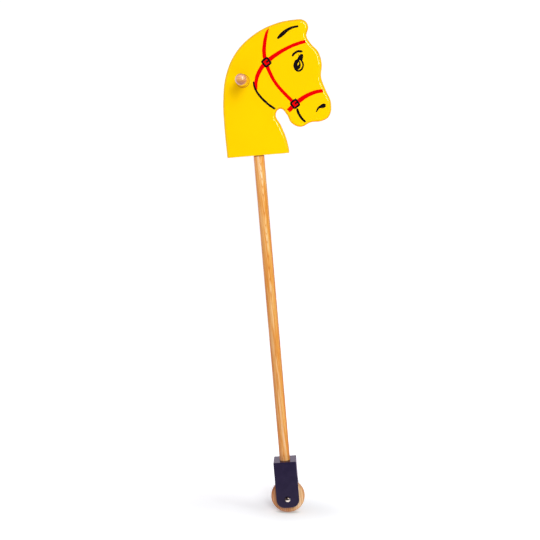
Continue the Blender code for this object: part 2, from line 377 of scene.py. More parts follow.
def woodFinish(name, wood):
    look = woodLook
    finish, tree, shader = startFinish(name, wood["light"], wood["gloss"])
    place = objectPlace(tree, wood["pith"], wood["lean"])
    if "bow" in wood:
        place = bowedPlace(tree, place, wood["bow"])
    strand = noise(tree, place, wood["strandPitch"], *look["strandDetail"])
    cloud = noise(tree, place, look["cloudPitch"], plainDetail)
    openPores = ramp(tree, noise(tree, place, look["porePitch"], plainDetail), look["pore"])

    colour = growthRings(tree, place, wood)
    colour = blendColours(tree, wood["streaks"], colour, ramp(tree, strand, look["streak"]), "MULTIPLY")
    colour = blendColours(tree, 1.0, colour, varyColour(tree, cloud, wood["warm"], wood["pale"]), "MULTIPLY")
    poreColour = blendColours(tree, openPores, (1, 1, 1, 1), look["poreColour"])
    plain = colour = blendColours(tree, wood["pores"], colour, poreColour, "MULTIPLY")

    where = splitAxes(tree, objectPlace(tree))
    for axis, low, high, tones in wood["tints"]:  # colour bands: painted shade and light across the stick and wheel and on the grip's ends, a paler top and shade and glue at the stick's joint
        share = spread(tree, where[axis], low, high, 0.0, 1.0)
        colour = blendColours(tree, 1.0, colour, ramp(tree, share, tones), "MULTIPLY")
    facing, flat = surfaceFacing(tree)
    if "tread" in wood:  # painted shade: darker all round the tread, for the shade where the wheel meets the floor
        treadShade = fade(tree, flat, *wood["treadSpan"])
        colour = blendColours(tree, treadShade, colour, wood["tread"], "MULTIPLY")
    if "grip" in wood:
        colour = gripColours(tree, wood, facing, flat, colour, plain)
    tree.links.new(colour, shader.inputs["Base Color"])

    sheen = vary(tree, strand, wood["gloss"] + look["duller"], wood["gloss"] - look["glossier"])
    tree.links.new(sheen, shader.inputs["Roughness"])
    shader.inputs["Specular IOR Level"].default_value = wood["shine"]
    shader.inputs["Coat Weight"].default_value = wood["varnish"]
    shader.inputs["Coat Roughness"].default_value = wood["varnishGloss"]
    strands = raiseSurface(tree, shader, strand, *look["strandHeight"])
    raiseSurface(tree, shader, openPores, *look["poreDepth"], strands)
    return finish


# Yellow paint on the board, with painted shade on its rounded edge and a dark brown ring on the rim of the
# grip's hole
yellowPaint = {
    "face": displayColour(252, 211, 1), "deep": displayColour(251, 208, 1),
    "cloudPitch": 14, "cloudSpan": (0.35, 0.65),
    # painted shade on the rounded edge, chosen by which way the surface faces
    "edge": displayColour(254, 182, 0), "brink": displayColour(242, 208, 0),
    "left": displayColour(255, 204, 0), "under": displayColour(236, 132, 0),
    # where the edge's painted shade, the gloss and the shine change, by how far the surface faces front,
    # left, down or up
    "edgeSpan": (0.2, 0.95), "brinkSpan": (0.0, 0.45), "leftSpan": (-0.7, -0.2), "underSpan": (-0.8, -0.1),
    "roundedSpan": (0.94, 0.99), "frontSpan": (0.75, 0.92), "upSpan": (-0.3, -0.12),
    "gloss": 0.05, "clearer": 0.01, "duller": 0.02, "smearPitch": 60, "edgeGloss": 0.24, "rimDullGloss": 0.7,
    "shine": 0.4, "leastShine": 0.05, "peelPitch": 300, "peelHeight": (0.05, 0.03 * mm),
    # by distance from the grip's axis
    "hole": displayColour(254, 206, 0), "rimBrown": displayColour(140, 84, 28),
    "rimBrownDark": displayColour(92, 52, 14), "fuzzPitch": 2200, "rimRadius": 11.8 * mm, "rimWidth": 0.75 * mm,
    "ragged": 0.1 * mm, "raggedPitch": 260, "soft": 0.08 * mm, "holeSoft": 0.1 * mm,
    "rimDullFrom": 0.2 * mm, "rimDullTo": 0.4 * mm,
}


def paintedBoardFinish():
    paint = yellowPaint
    finish, tree, shader = startFinish("yellow_gloss_paint", paint["face"], paint["gloss"])
    place = objectPlace(tree)
    facing, flat = surfaceFacing(tree)
    clouds = spread(tree, noise(tree, place, paint["cloudPitch"]), *paint["cloudSpan"], 0.0, 1.0)
    coat = blendColours(tree, clouds, paint["face"], paint["deep"])

    # painted shade on the rounded edge: deeper orange, deepest where it faces down, paler where it faces left
    # and at its outermost part
    deep = blendColours(tree, fade(tree, flat, *paint["brinkSpan"]), paint["edge"], paint["brink"])
    deep = blendColours(tree, fade(tree, facing["X"], *paint["leftSpan"]), deep, paint["left"])
    deep = blendColours(tree, fade(tree, facing["Z"], *paint["underSpan"]), deep, paint["under"])
    coat = blendColours(tree, fade(tree, flat, *paint["edgeSpan"]), coat, deep)
    front = spread(tree, flat, *paint["frontSpan"], paint["leastShine"], paint["shine"])
    upward = spread(tree, facing["Z"], *paint["upSpan"], paint["leastShine"], 1.0)
    shader.inputs["Specular IOR Level"].default_value = paint["shine"]
    tree.links.new(numberMath(tree, "MULTIPLY", front, upward), shader.inputs["Specular IOR Level"])

    # paint in the hole's easing, then a dark brown ring on its rim
    rim = paint["rimRadius"]
    fromAxis = vectorMath(tree, "LENGTH", vectorMath(tree, "MULTIPLY", place, (1, 0, 1)))
    coat = blendColours(tree, fade(tree, fromAxis, rim, rim + paint["holeSoft"]), coat, paint["hole"])
    rag = noise(tree, place, paint["raggedPitch"], fineDetail)
    rag = vary(tree, rag, -paint["ragged"], paint["ragged"])
    beyond = numberMath(tree, "SUBTRACT", numberMath(tree, "ADD", fromAxis, rag), rim)
    half, soft = paint["rimWidth"] / 2, paint["soft"]
    rimRing = fade(tree, numberMath(tree, "ABSOLUTE", beyond), half - soft, half + soft)
    fuzz = noise(tree, place, paint["fuzzPitch"], fineDetail)
    board = varyColour(tree, fuzz, paint["rimBrownDark"], paint["rimBrown"])
    tree.links.new(blendColours(tree, rimRing, coat, board), shader.inputs["Base Color"])

    smear = noise(tree, place, paint["smearPitch"], fineDetail)
    gloss = vary(tree, smear, paint["gloss"] - paint["clearer"], paint["gloss"] + paint["duller"])
    gloss = blendNumbers(tree, fade(tree, flat, *paint["roundedSpan"]), gloss, paint["edgeGloss"])
    rimDull = fade(tree, fromAxis, rim + paint["rimDullFrom"], rim + paint["rimDullTo"])
    tree.links.new(blendNumbers(tree, rimDull, gloss, paint["rimDullGloss"]), shader.inputs["Roughness"])
    raiseSurface(tree, shader, noise(tree, place, paint["peelPitch"]), *paint["peelHeight"])
    return finish


navyPaint = {
    "plain": displayColour(33, 28, 56), "dark": displayColour(30, 24, 53), "light": displayColour(36, 30, 59),
    "cloudPitch": 90, "plainGloss": 0.14, "gloss": (0.05, 0.10), "glossPitch": 240, "shine": 0.5,
    "grainPitch": (500, 500, 40), "grainHeight": (0.12, 0.03 * mm),
}


def blockFinish():
    paint = navyPaint
    finish, tree, shader = startFinish("navy_gloss_paint", paint["plain"], paint["plainGloss"])
    shader.inputs["Specular IOR Level"].default_value = paint["shine"]
    place = objectPlace(tree)
    clouds = noise(tree, place, paint["cloudPitch"], fineDetail)
    tree.links.new(varyColour(tree, clouds, paint["dark"], paint["light"]), shader.inputs["Base Color"])
    smear = noise(tree, place, paint["glossPitch"], fineDetail)
    tree.links.new(vary(tree, smear, *paint["gloss"]), shader.inputs["Roughness"])
    raiseSurface(tree, shader, noise(tree, place, paint["grainPitch"]), *paint["grainHeight"])
    return finish


ink = {"gloss": 0.06, "change": 0.02, "patchPitch": 350, "skinPitch": 900, "skinHeight": (0.08, 0.01 * mm)}


def inkFinish(name, colour, other):
    finish, tree, shader = startFinish(name, colour, ink["gloss"])
    place = objectPlace(tree)
    patches = noise(tree, place, ink["patchPitch"], fineDetail)
    tree.links.new(varyColour(tree, patches, colour, other), shader.inputs["Base Color"])
    gloss = vary(tree, patches, ink["gloss"] - ink["change"], ink["gloss"] + ink["change"])
    tree.links.new(gloss, shader.inputs["Roughness"])
    raiseSurface(tree, shader, noise(tree, place, ink["skinPitch"]), *ink["skinHeight"])
    return finish


metalLook = {
    "dull": 0.9, "clearest": 0.7, "dullest": 1.5,  # as shares of a metal's own colour and roughness
    "dullTo": 0.35, "brightFrom": 0.6, "markDetail": (fineDetail, 0.6), "markHeight": (0.08, 0.01 * mm),
    "darkReflectionSpan": (0.02, 0.3),
}
chrome = {
    "colour": (0.92, 0.88, 0.85, 1), "gloss": 0.12, "markPitch": (900, 900, 900),
    "darkReflection": (0.24, 0.18, 0.15, 1), "darkReflectionWay": (-0.45, 0, 0.9),  # painted dark brown reflection where it faces up and left
}
steel = {"colour": (0.55, 0.56, 0.57, 1), "gloss": 0.28, "markPitch": (2500, 60, 2500)}
zinc = {"colour": (0.62, 0.62, 0.60, 1), "gloss": 0.32, "markPitch": (1400, 1400, 1400)}


def metalFinish(name, metal):
    look = metalLook
    finish, tree, shader = startFinish(name, metal["colour"], metal["gloss"], 1.0)
    marks = noise(tree, objectPlace(tree), metal["markPitch"], *look["markDetail"])
    gloss = vary(tree, marks, metal["gloss"] * look["clearest"], metal["gloss"] * look["dullest"])
    tree.links.new(gloss, shader.inputs["Roughness"])
    dull = [channel * look["dull"] for channel in metal["colour"][:3]]
    tone = ramp(tree, marks, ((look["dullTo"], dull), (look["brightFrom"], metal["colour"])))
    # painted reflection: darker brown where the cap faces up and left, for the dark room it mirrors
    if "darkReflection" in metal:
        normal = addNode(tree, "TexCoord").outputs["Normal"]
        turned = vectorMath(tree, "DOT_PRODUCT", normal, metal["darkReflectionWay"])
        share = spread(tree, turned, *look["darkReflectionSpan"], 0.0, 1.0)
        tone = blendColours(tree, share, tone, metal["darkReflection"])
    tree.links.new(tone, shader.inputs["Base Color"])
    raiseSurface(tree, shader, marks, *look["markHeight"])
    return finish


stickWood = {
    "pith": (-stickX, -60 * mm, 0), "lean": (0, 0, 0), "ringGap": 0.6 * mm,
    "bow": {"nearest": -535 * mm, "lean": -0.05, "curve": 0.036},
    "wander": 4 * mm, "wanderPitch": (14, 14, 6), "strandPitch": (330, 330, 11),
    "light": displayColour(242, 184, 108), "middle": displayColour(236, 168, 88),
    "dark": displayColour(222, 144, 62), "warm": (0.98, 0.92, 0.78, 1), "pale": (1.02, 1.04, 1.14, 1),
    "streaks": 1.0, "pores": 0.4, "gloss": 0.45, "shine": 0.3, "varnish": 0.25, "varnishGloss": 0.15,
    "tints": (
        # painted shade across the stick: darker on its left side, deeper orange at its right edge
        ("X", stickLow.x, stickHigh.x, (
            (0.0, (0.82, 0.70, 0.64)), (0.25, (0.86, 0.83, 0.74)), (0.6, (0.91, 0.99, 1.02)),
            (0.8, (0.90, 0.84, 0.46)), (1.0, (0.81, 0.60, 0.28)))),
        ("Z", blockHigh.z, boardLow.z, (
            (0.0, (0.90, 0.91, 1.08)), (0.4, (0.91, 0.87, 0.80)), (0.75, (1, 1.01, 0.96)),
            (1.0, (1.08, 1.20, 1.44)))),
        ("Z", boardLow.z - 4 * mm, boardLow.z, (  # shade and glue in the joint with the board
            (0.0, (1, 1, 1)), (0.45, (1, 1, 1)), (0.65, (0.45, 0.30, 0.26)), (1.0, (0.42, 0.26, 0.22))))),
}
gripWood = {
    "pith": (3 * mm, 14 * mm, 0), "lean": (90, 0, 0), "ringGap": 3.6 * mm,
    "wander": 8 * mm, "wanderPitch": (10, 10, 8), "strandPitch": (620, 620, 9),
    "light": displayColour(238, 180, 112), "middle": displayColour(230, 168, 100),
    "dark": displayColour(218, 150, 84), "warm": (0.96, 0.88, 0.78, 1), "pale": (1.02, 1.02, 1.04, 1),
    "streaks": 0.3, "pores": 0.4, "gloss": 0.4, "shine": 0.5, "varnish": 1.0, "varnishGloss": 0.18,
    # painted shade on the lower part and painted highlight on the upper part of the grip's ends
    "tints": (("Z", -gripRadius, gripRadius, (
        (0.1, (0.40, 0.36, 0.42)), (0.27, (0.62, 0.48, 0.38)), (0.5, (0.96, 1.06, 0.96)),
        (0.8, (1.14, 1.18, 1.9)), (1.0, (1.1, 1.18, 1.7)))),),
    # painted reflections: a coloured rim on the domed ends, and the board's yellow on the bar near the board
    "grip": {
        "rim": ((0.0, displayColour(255, 228, 255)), (0.5, displayColour(190, 122, 112)),
                (1.0, displayColour(226, 146, 98))),
        "rimSpan": (0.6, 0.88), "rimShare": 0.85, "barSpan": (0.2, 0.4),
        "boardReflection": (1.3, 1.75, 0.0, 1), "boardReflectionSpan": (boardFace + 16 * mm, gripHigh.y - 6 * mm),
        "boardReflectionLeast": 0.35},
}
wheelWood = {
    "pith": (-stickX - 45 * mm, -8 * mm, 0), "lean": (2, 3, 0), "ringGap": 4.2 * mm,
    "wander": 10 * mm, "wanderPitch": (14, 14, 8), "strandPitch": (500, 500, 12),
    "light": displayColour(216, 164, 110), "middle": displayColour(210, 154, 98),
    "dark": displayColour(196, 134, 78), "warm": (0.94, 0.86, 0.76, 1), "pale": (1.02, 1.02, 1.04, 1),
    "streaks": 0.4, "pores": 0.5, "gloss": 0.5, "shine": 0.3, "varnish": 0.1, "varnishGloss": 0.2,
    # painted shade and light across the wheel: darker on the left, darkest under the block, paler on the
    # right
    "tints": (("X", stickX - 30 * mm, stickX + 30 * mm, (
        (0.0, (0.86, 0.84, 0.96)), (0.2, (0.74, 0.70, 0.86)), (0.48, (0.62, 0.54, 0.56)),
        (0.65, (0.84, 0.92, 1.05)), (0.85, (1.18, 1.68, 2.6)), (1.0, (1.16, 1.4, 1.6)))),),
    # painted shade on the tread, for the floor's shade at the wheel's foot
    "tread": (0.76, 0.62, 0.47, 1), "treadSpan": (0.7, 0.99),
}
pinWood = dict(stickWood, pith=(-stickX, 9 * mm, 0), gloss=0.6, varnish=0.0)

stickFinish = woodFinish("varnished_ash", stickWood)
gripFinish = woodFinish("varnished_beech", gripWood)
wheelFinish = woodFinish("turned_beech", wheelWood)
pinFinish = woodFinish("bare_beech", pinWood)
boardFinish = paintedBoardFinish()
navyFinish = blockFinish()
redInk = inkFinish("red_ink", displayColour(232, 0, 4), displayColour(226, 0, 2))
blackInk = inkFinish("black_ink", displayColour(12, 8, 14), displayColour(24, 18, 22))
yellowInk = inkFinish("eye_yellow_ink", displayColour(250, 216, 2), displayColour(246, 206, 2))
chromeFinish = metalFinish("polished_chrome", chrome)
axleFinish = metalFinish("drawn_steel", steel)
washerFinish = metalFinish("zinc_plate", zinc)
print("finishes ready")


# Head board: outline in millimetres from the stick's axis at the base, as (x, z)
headBoard = {
    "outline": (
        (-58.0, 0.0), (-58.4, 55.5), (-56.2, 103.5), (-47.0, 148.5), (-26.0, 186.5), (8.0, 214.8),
        (45.0, 230.3), (81.0, 235.3), (101.5, 232.8), (108.2, 222.5), (103.9, 205.0), (111.2, 190.3),
        (122.6, 176.0), (127.5, 154.5), (124.7, 130.5), (131.2, 107.0), (139.0, 83.5), (133.5, 59.5),
        (121.0, 52.8), (99.5, 51.7), (80.5, 45.3), (64.2, 54.1), (57.6, 69.0), (46.0, 80.7),
        (37.2, 72.0), (45.0, 51.0), (53.0, 26.5), (56.3, 0.0)),
    "fullness": 0.36,  # handle length as a share of the chord
    "stepsPerStretch": 10,
    "roundOver": 6.0 * mm,
    "roundSteps": 8,
    "baseEasing": 1.2 * mm,
    "baseSteps": 3,
    "holeEasing": 1.4 * mm,
    "holeAngles": (0, 22, 45, 68, 90),  # degrees round the hole's eased mouth
    "smooth": 40,
}


def startCurve(count):  # a curve with this many knots, still to be placed
    leaveEditing()
    bpy.ops.curve.primitive_bezier_curve_add(location=(0, 0, 0))
    curve = bpy.context.object
    spline = curve.data.splines[0]
    spline.bezier_points.add(count - len(spline.bezier_points))
    return curve, spline


def outlineCurve(points, fullness, steps):  # a closed curve, upright at both ends of its straight base
    curve, spline = startCurve(len(points))
    chords = [after - before for before, after in zip(points, points[1:])]
    ways = [(a.normalized() + b.normalized()).normalized() for a, b in zip(chords, chords[1:])]
    ways = [Vector((0, 0, 1))] + ways + [Vector((0, 0, -1))]
    base = points[0] - points[-1]
    for i, knot in enumerate(spline.bezier_points):
        knot.handle_left_type = knot.handle_right_type = "FREE"
        knot.co = points[i]
        before = chords[i - 1].length * fullness if i else 0
        after = chords[i].length * fullness if i < len(chords) else 0
        knot.handle_left = points[i] - (ways[i] * before if i else base / 3)
        knot.handle_right = points[i] + (ways[i] * after if after else base / 3)
    spline.use_cyclic_u = True
    curve.data.resolution_u = steps
    bpy.ops.object.convert(target="MESH")
    return bpy.context.object


def makeHeadBoard():
    sizes = headBoard
    baseZ = boardLow.z
    points = [Vector((stickX + x * mm, -boardFace, baseZ + z * mm)) for x, z in sizes["outline"]]
    board = outlineCurve(points, sizes["fullness"], sizes["stepsPerStretch"])
    editAll(board)
    bpy.ops.mesh.remove_doubles(threshold=weldGap)
    bpy.ops.mesh.edge_face_add()
    bpy.ops.mesh.extrude_region_move(TRANSFORM_OT_translate={"value": (0, 2 * boardFace, 0)})
    tidyMesh(board)

    onBase = baseZ + touching
    pick("EDGE", lambda edge: abs(ends(edge)[0].y - ends(edge)[1].y) < touching
         and max(end.z for end in ends(edge)) > onBase)
    bpy.ops.mesh.bevel(offset=sizes["roundOver"], segments=sizes["roundSteps"], profile=0.5,
                       affect="EDGES", clamp_overlap=False)
    bpy.ops.object.mode_set(mode="OBJECT")
    pick("EDGE", lambda edge: max(end.z for end in ends(edge)) < onBase)
    bpy.ops.mesh.bevel(offset=sizes["baseEasing"], segments=sizes["baseSteps"], profile=0.5, affect="EDGES")
    tidyMesh(board)

    bore = gripRadius + glueLine
    ease = sizes["holeEasing"]
    over = 2 * mm  # how far the cutters reach past the board
    mouth = []
    for degrees in sizes["holeAngles"]:
        turn = math.radians(degrees)
        mouth.append((bore + ease - ease * math.cos(turn), boardFace - ease + ease * math.sin(turn)))
    profile = mouth + [(bore + ease, boardFace + over), (0, boardFace + over)]
    profile = [(radius, -height) for radius, height in reversed(profile)] + profile
    cutAway(board, turnOnLathe(profile, (0, 0, 0)))
    below, pinTop = Vector((stickX, 0, baseZ - over)), Vector((stickX, 0, pinHigh.z + seam))
    cutAway(board, rod(pinRadius + seam, below, pinTop, "Z", holeSteps))
    finishPiece(board, "painted_head_board", "horse", boardFinish, "head_board",
                sizes["smooth"], weigh=True)


makeHeadBoard()


# Grip bar
gripBar = {"dome": 5.5 * mm, "domeSteps": 12, "smooth": 60}


def makeGripBar():
    tip = gripHigh.y
    straight = tip - gripBar["dome"]
    quarter = arcPoints((0, 0), 1, 0, 90, gripBar["domeSteps"])
    far = [(gripRadius * out, straight + gripBar["dome"] * along) for out, along in quarter[:-1]] + [(0, tip)]
    near = [(radius, -height) for radius, height in reversed(far)]
    grip = turnOnLathe(near + far, (0, 0, 0))
    finishPiece(grip, "varnished_grip_bar", "horse", gripFinish, "handle_dowel",
                gripBar["smooth"])


makeGripBar()


# Stick
stickEnds = {"chamfer": 1.2 * mm, "chamferSteps": 3, "smooth": 30}


def makeStick():
    low, high = Vector((stickX, 0, stickLow.z)), Vector((stickX, 0, stickHigh.z))
    stick = rod(stickRadius, low, high)
    easeEnds(stick, low.z, high.z, stickEnds["chamfer"], stickEnds["chamferSteps"])
    floor = Vector((stickX, 0, pinLow.z - seam))
    above = high + Vector((0, 0, 2 * mm))  # past the stick's end
    cutAway(stick, rod(pinRadius + seam, floor, above, "Z", holeSteps))
    finishPiece(stick, "varnished_stick", "horse", stickFinish, "stick",
                stickEnds["smooth"], weigh=True)


makeStick()


# Fork block
forkBlock = {
    "footRadius": 16 * mm, "footSteps": 14, "easing": 1.2 * mm, "easingSteps": 4,
    "cornerAngle": 40,  # only edges sharper than this are eased
    "cheek": 9.5 * mm, "roofRoom": 4.5 * mm, "smooth": 30,
}


def makeForkBlock():
    sizes = forkBlock
    middle = (blockLow + blockHigh) / 2
    leaveEditing()
    bpy.ops.mesh.primitive_cube_add(size=1, location=middle, scale=blockHigh - blockLow)
    block = bpy.context.object
    applyPlace(block)
    low = blockLow.z + touching
    pick("EDGE", lambda edge: max(end.z for end in ends(edge)) < low
         and abs(ends(edge)[0].x - ends(edge)[1].x) < touching)
    bpy.ops.mesh.bevel(offset=sizes["footRadius"], segments=sizes["footSteps"], profile=0.5, affect="EDGES")
    bpy.ops.object.mode_set(mode="OBJECT")
    bpy.ops.object.modifier_add(type="BEVEL")
    bevel = block.modifiers[-1]
    bevel.width = sizes["easing"]
    bevel.segments = sizes["easingSteps"]
    bevel.limit_method = "ANGLE"
    bevel.angle_limit = math.radians(sizes["cornerAngle"])
    bpy.ops.object.modifier_apply(modifier=bevel.name)

    over = 4 * mm  # how far the cutters reach past the block
    slotHalf = blockHigh.y - sizes["cheek"]
    roof = wheelHigh.z + sizes["roofRoom"]
    floor = blockLow.z - over
    leaveEditing()
    bpy.ops.mesh.primitive_cube_add(
        size=1, location=(middle.x, 0, (roof + floor) / 2),
        scale=(blockHigh.x - blockLow.x + 2 * over, 2 * slotHalf, roof - floor))
    slot = bpy.context.object
    applyPlace(slot)
    cutAway(block, slot)
    seat = Vector((stickX, 0, stickLow.z - seam))
    cutAway(block, rod(stickRadius + seam, seat, Vector((stickX, 0, blockHigh.z + over))))
    front, back = Vector((stickX, blockLow.y - over, axleZ)), Vector((stickX, blockHigh.y + over, axleZ))
    cutAway(block, rod(axleRadius + seam, front, back, "Y", holeSteps))
    finishPiece(block, "painted_fork_block", "horse", navyFinish, "wheel_block",
                sizes["smooth"], weigh=True)


makeForkBlock()


# Wheel
turnedWheel = {"treadRound": 5.5 * mm, "treadSteps": 10, "boreEasing": 0.4 * mm, "steps": 128, "smooth": 30}


def makeWheel():
    sizes = turnedWheel
    centre = (stickX, 0, axleZ)
    bore = axleRadius + seam
    ease = sizes["boreEasing"]
    corner = wheelRadius - sizes["treadRound"]
    side = wheelHalf - sizes["treadRound"]
    rim = arcPoints((corner, -side), sizes["treadRound"], -90, 0, sizes["treadSteps"])
    rim += arcPoints((corner, side), sizes["treadRound"], 0, 90, sizes["treadSteps"])
    profile = [(bore, -wheelHalf + ease), (bore + ease, -wheelHalf)] + rim
    profile += [(bore + ease, wheelHalf), (bore, wheelHalf - ease)]
    wheel = turnOnLathe(profile, centre, sizes["steps"])
    finishPiece(wheel, "turned_wheel", "wheel", wheelFinish, "wheel",
                sizes["smooth"], weigh=True)


makeWheel()


# Caps and washers on the axle
axleCap = {
    "radius": 5.5 * mm, "height": 4.5 * mm, "grip": 2.6 * mm, "easing": 0.6 * mm, "domeSteps": 14,
    "smooth": 50,
}
axleWasher = {"easing": 0.15 * mm, "smooth": 30}


def makeCap(name, node, side):
    sizes = axleCap
    low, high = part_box(node)
    seatY = low.y if side > 0 else high.y
    bore = axleRadius + seam
    ease, rise = sizes["easing"], sizes["height"] - sizes["easing"]
    crown = arcPoints((0, 0), 1, 0, 90, sizes["domeSteps"])
    dome = [(sizes["radius"] * out, ease + rise * up) for out, up in crown[:-1]] + [(0, sizes["height"])]
    hollow = [(0, sizes["grip"] + seam), (bore, sizes["grip"] + seam), (bore, 0)]
    profile = hollow + [(sizes["radius"] - ease, 0)] + dome
    profile = [(radius, along * side) for radius, along in profile]
    cap = turnOnLathe(profile, (stickX, seatY, axleZ), smallRoundSteps)
    finishPiece(cap, name, "horse", chromeFinish, node, sizes["smooth"])


makeCap("chrome_cap_front", "axle_cap_front", -1)
makeCap("chrome_cap_rear", "axle_cap_rear", 1)


def makeWasher(name, node):
    low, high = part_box(node)
    ease = axleWasher["easing"]
    radius, bore = (high.x - low.x) / 2, axleRadius + seam
    half = (high.y - low.y) / 2
    profile = [(bore, -half), (radius - ease, -half), (radius, -half + ease),
               (radius, half - ease), (radius - ease, half), (bore, half)]
    washer = turnOnLathe(profile, (stickX, (low.y + high.y) / 2, axleZ), smallRoundSteps)
    finishPiece(washer, name, "horse", washerFinish, node, axleWasher["smooth"])


makeWasher("zinc_washer_front", "washer_front")
makeWasher("zinc_washer_rear", "washer_rear")
for node, finish in (("axle", axleFinish), ("neck_pin", pinFinish)):  # these keep the frame's own solids
    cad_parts[node].data.materials.clear()
    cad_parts[node].data.materials.append(finish)


# Painted bridle and features: (x, z, half width) in millimetres from the grip's axis
redStraps = {
    "crown": ((54.4, 87.6, 0.5), (53.0, 85.4, 1.4), (50.8, 81.8, 2.3), (48.1, 74.4, 2.9), (45.1, 63.4, 3.2),
              (43.0, 51.2, 3.4), (42.8, 40.4, 3.5), (44.9, 29.6, 3.6)),
    "brow": ((45.2, 29.6, 4.0), (52.5, 34.6, 4.1), (65.7, 42.2, 3.5), (77.8, 48.0, 3.3), (89.6, 52.8, 3.0),
             (101.0, 56.2, 2.9), (112.0, 58.7, 2.9), (118.3, 59.5, 2.8)),
    "throat": ((45.2, 29.6, 3.8), (38.2, 23.3, 3.8), (31.7, 14.8, 3.7), (26.7, 6.0, 3.6), (23.9, -3.3, 3.1),
               (23.4, -11.5, 2.3), (23.9, -17.4, 1.0)),
    "cheek": ((45.4, 29.6, 3.4), (46.6, 21.0, 3.4), (49.0, 13.4, 3.3), (57.0, -5.3, 2.9),
              (68.8, -22.9, 3.0), (81.9, -38.4, 3.1), (90.6, -48.8, 3.1)),
    "nose": ((77.7, -60.1, 4.0), (84.2, -54.7, 4.1), (90.9, -48.7, 4.2), (100.2, -42.7, 4.2),
             (110.1, -37.3, 3.7), (119.6, -33.5, 3.5), (128.8, -31.0, 3.3), (137.7, -29.8, 3.1),
             (142.8, -29.8, 2.9)),
}
blackLines = {
    "ear": ((69.5, 69.8, 1.6), (73.6, 72.9, 3.0), (78.7, 76.7, 3.5), (86.1, 81.7, 2.8), (96.0, 85.9, 2.1),
            (106.2, 87.0, 1.8)),
    "eyebrow": ((93.4, 37.1, 1.9), (94.8, 39.0, 1.9), (99.1, 42.0, 2.0), (102.9, 43.4, 2.1),
                (106.3, 43.4, 2.1), (110.0, 42.7, 1.9)),
    "lash": ((104.6, 26.2, 4.7), (106.4, 30.0, 4.7), (108.2, 33.3, 4.0), (109.0, 34.8, 3.4)),
    "hairLeft": ((105.6, 34.2, 1.1), (103.8, 37.6, 0.5)),
    "hairMiddle": ((108.3, 34.5, 1.1), (107.6, 38.4, 0.5)),
    "hairRight": ((111.0, 34.0, 1.1), (111.6, 37.6, 0.5)),
    "jaw": ((19.3, -3.9, 1.5), (20.2, -12.2, 1.7), (23.4, -20.7, 1.9), (28.8, -29.6, 2.0),
            (36.4, -38.9, 2.1), (44.4, -47.0, 2.0), (53.0, -53.7, 1.8)),
    "mouth": ((94.2, -58.9, 2.1), (95.7, -65.3, 2.4), (98.3, -70.9, 2.2), (101.9, -76.6, 2.0),
              (106.2, -81.4, 1.7)),
    "nostril": ((128.8, -65.2, 1.1), (131.7, -60.4, 1.5), (135.7, -57.8, 2.4), (139.7, -57.0, 3.7),
                (142.4, -56.0, 3.9)),
}
eye = {
    "place": (102.8, 19.0), "halfSize": (9.5, 11.5), "turn": -6,
    "crescent": ((105.0, 27.3, 0.45), (106.5, 25.5, 0.8), (107.6, 23.0, 1.1), (108.1, 19.8, 1.25),
                 (107.6, 16.8, 1.25), (106.0, 14.0, 1.1), (103.8, 12.0, 0.8), (101.8, 11.0, 0.45)),
    "glint": ((103.2, 23.6, 0.6), (102.6, 22.3, 1.1), (102.0, 20.8, 1.1), (101.6, 19.5, 0.6)),
}
buckle = {
    "places": ((45.3, 29.4), (90.9, -48.6)), "size": (15.0, 15.6), "corner": 3.6, "cornerSteps": 8,
    "turn": 34, "frame": 3.4, "prong": 5.8, "prongHalf": 1.5,
}
brush = {
    "steps": 6, "tubeDetail": 6, "smooth": 1,
    "tip": ((0.5, 0.87), (0.85, 0.53), (1.0, 0.1)),  # (how far out, half width) as shares of the half width
}
# how far the films of paint stand above the board's face, with a step between strokes
lift = {"red": 0.05 * mm, "black": 0.10 * mm, "light": 0.15 * mm, "step": 0.004 * mm}


def flatten(piece, height):  # squeezes a tube lying along the face into a film of paint
    takeUp(piece)
    near = 0.001 * mm
    for side in (-1, 1):
        pick("VERT", lambda vert: vert.co.y * side > near)
        bpy.ops.transform.resize(value=(1, 0, 1), center_override=(0, side * height, 0))
        bpy.ops.object.mode_set(mode="OBJECT")
    pick("EDGE", lambda edge: max(abs(end.y) for end in ends(edge)) < near)
    bpy.ops.mesh.dissolve_edges(use_verts=True)
    editAll(piece)
    bpy.ops.transform.translate(value=(0, -boardFace, 0))
    bpy.ops.object.mode_set(mode="OBJECT")


def roundEnds(points):  # more points past each end, for an end like a brush's
    rounded = list(points)
    for end, before in ((points[0], points[1]), (points[-1], points[-2])):
        way = (Vector(end[:2]) - Vector(before[:2])).normalized()
        extra = [(end[0] + way.x * end[2] * out, end[1] + way.y * end[2] * out, end[2] * half)
                 for out, half in brush["tip"]]
        rounded = extra[::-1] + rounded if end is points[0] else rounded + extra
    return rounded


def brushStroke(points, height):
    curve, spline = startCurve(len(points))
    tubeSides = 4 + 2 * brush["tubeDetail"]  # as a curve's bevel counts
    for knot, (x, z, half) in zip(spline.bezier_points, points):
        knot.co = (x * mm, 0, z * mm)
        knot.radius = half / math.cos(math.tau / tubeSides)  # flattening takes off the outermost corners
        knot.handle_left_type = knot.handle_right_type = "AUTO"
    curve.data.resolution_u = brush["steps"]
    curve.data.bevel_depth = mm
    curve.data.bevel_resolution = brush["tubeDetail"]
    curve.data.use_fill_caps = True
    bpy.ops.object.convert(target="MESH")
    stroke = bpy.context.object
    flatten(stroke, height)
    return stroke


def layOnFace(place, turn, y=-boardFace):  # turns what is being edited and takes it to its place
    bpy.ops.transform.rotate(value=math.radians(turn), orient_axis="Y", center_override=(0, 0, 0))
    bpy.ops.transform.translate(value=(place[0] * mm, y, place[1] * mm))
    bpy.ops.object.mode_set(mode="OBJECT")


def paintedOval(place, halfSize, turn, height):
    leaveEditing()
    bpy.ops.mesh.primitive_cylinder_add(
        vertices=smallRoundSteps, radius=mm, depth=2 * height, rotation=(math.pi / 2, 0, 0),
        location=(0, 0, 0))
    oval = bpy.context.object
    applyPlace(oval)
    editAll(oval)
    bpy.ops.transform.resize(value=(halfSize[0], 1, halfSize[1]))
    layOnFace(place, turn)
    return oval


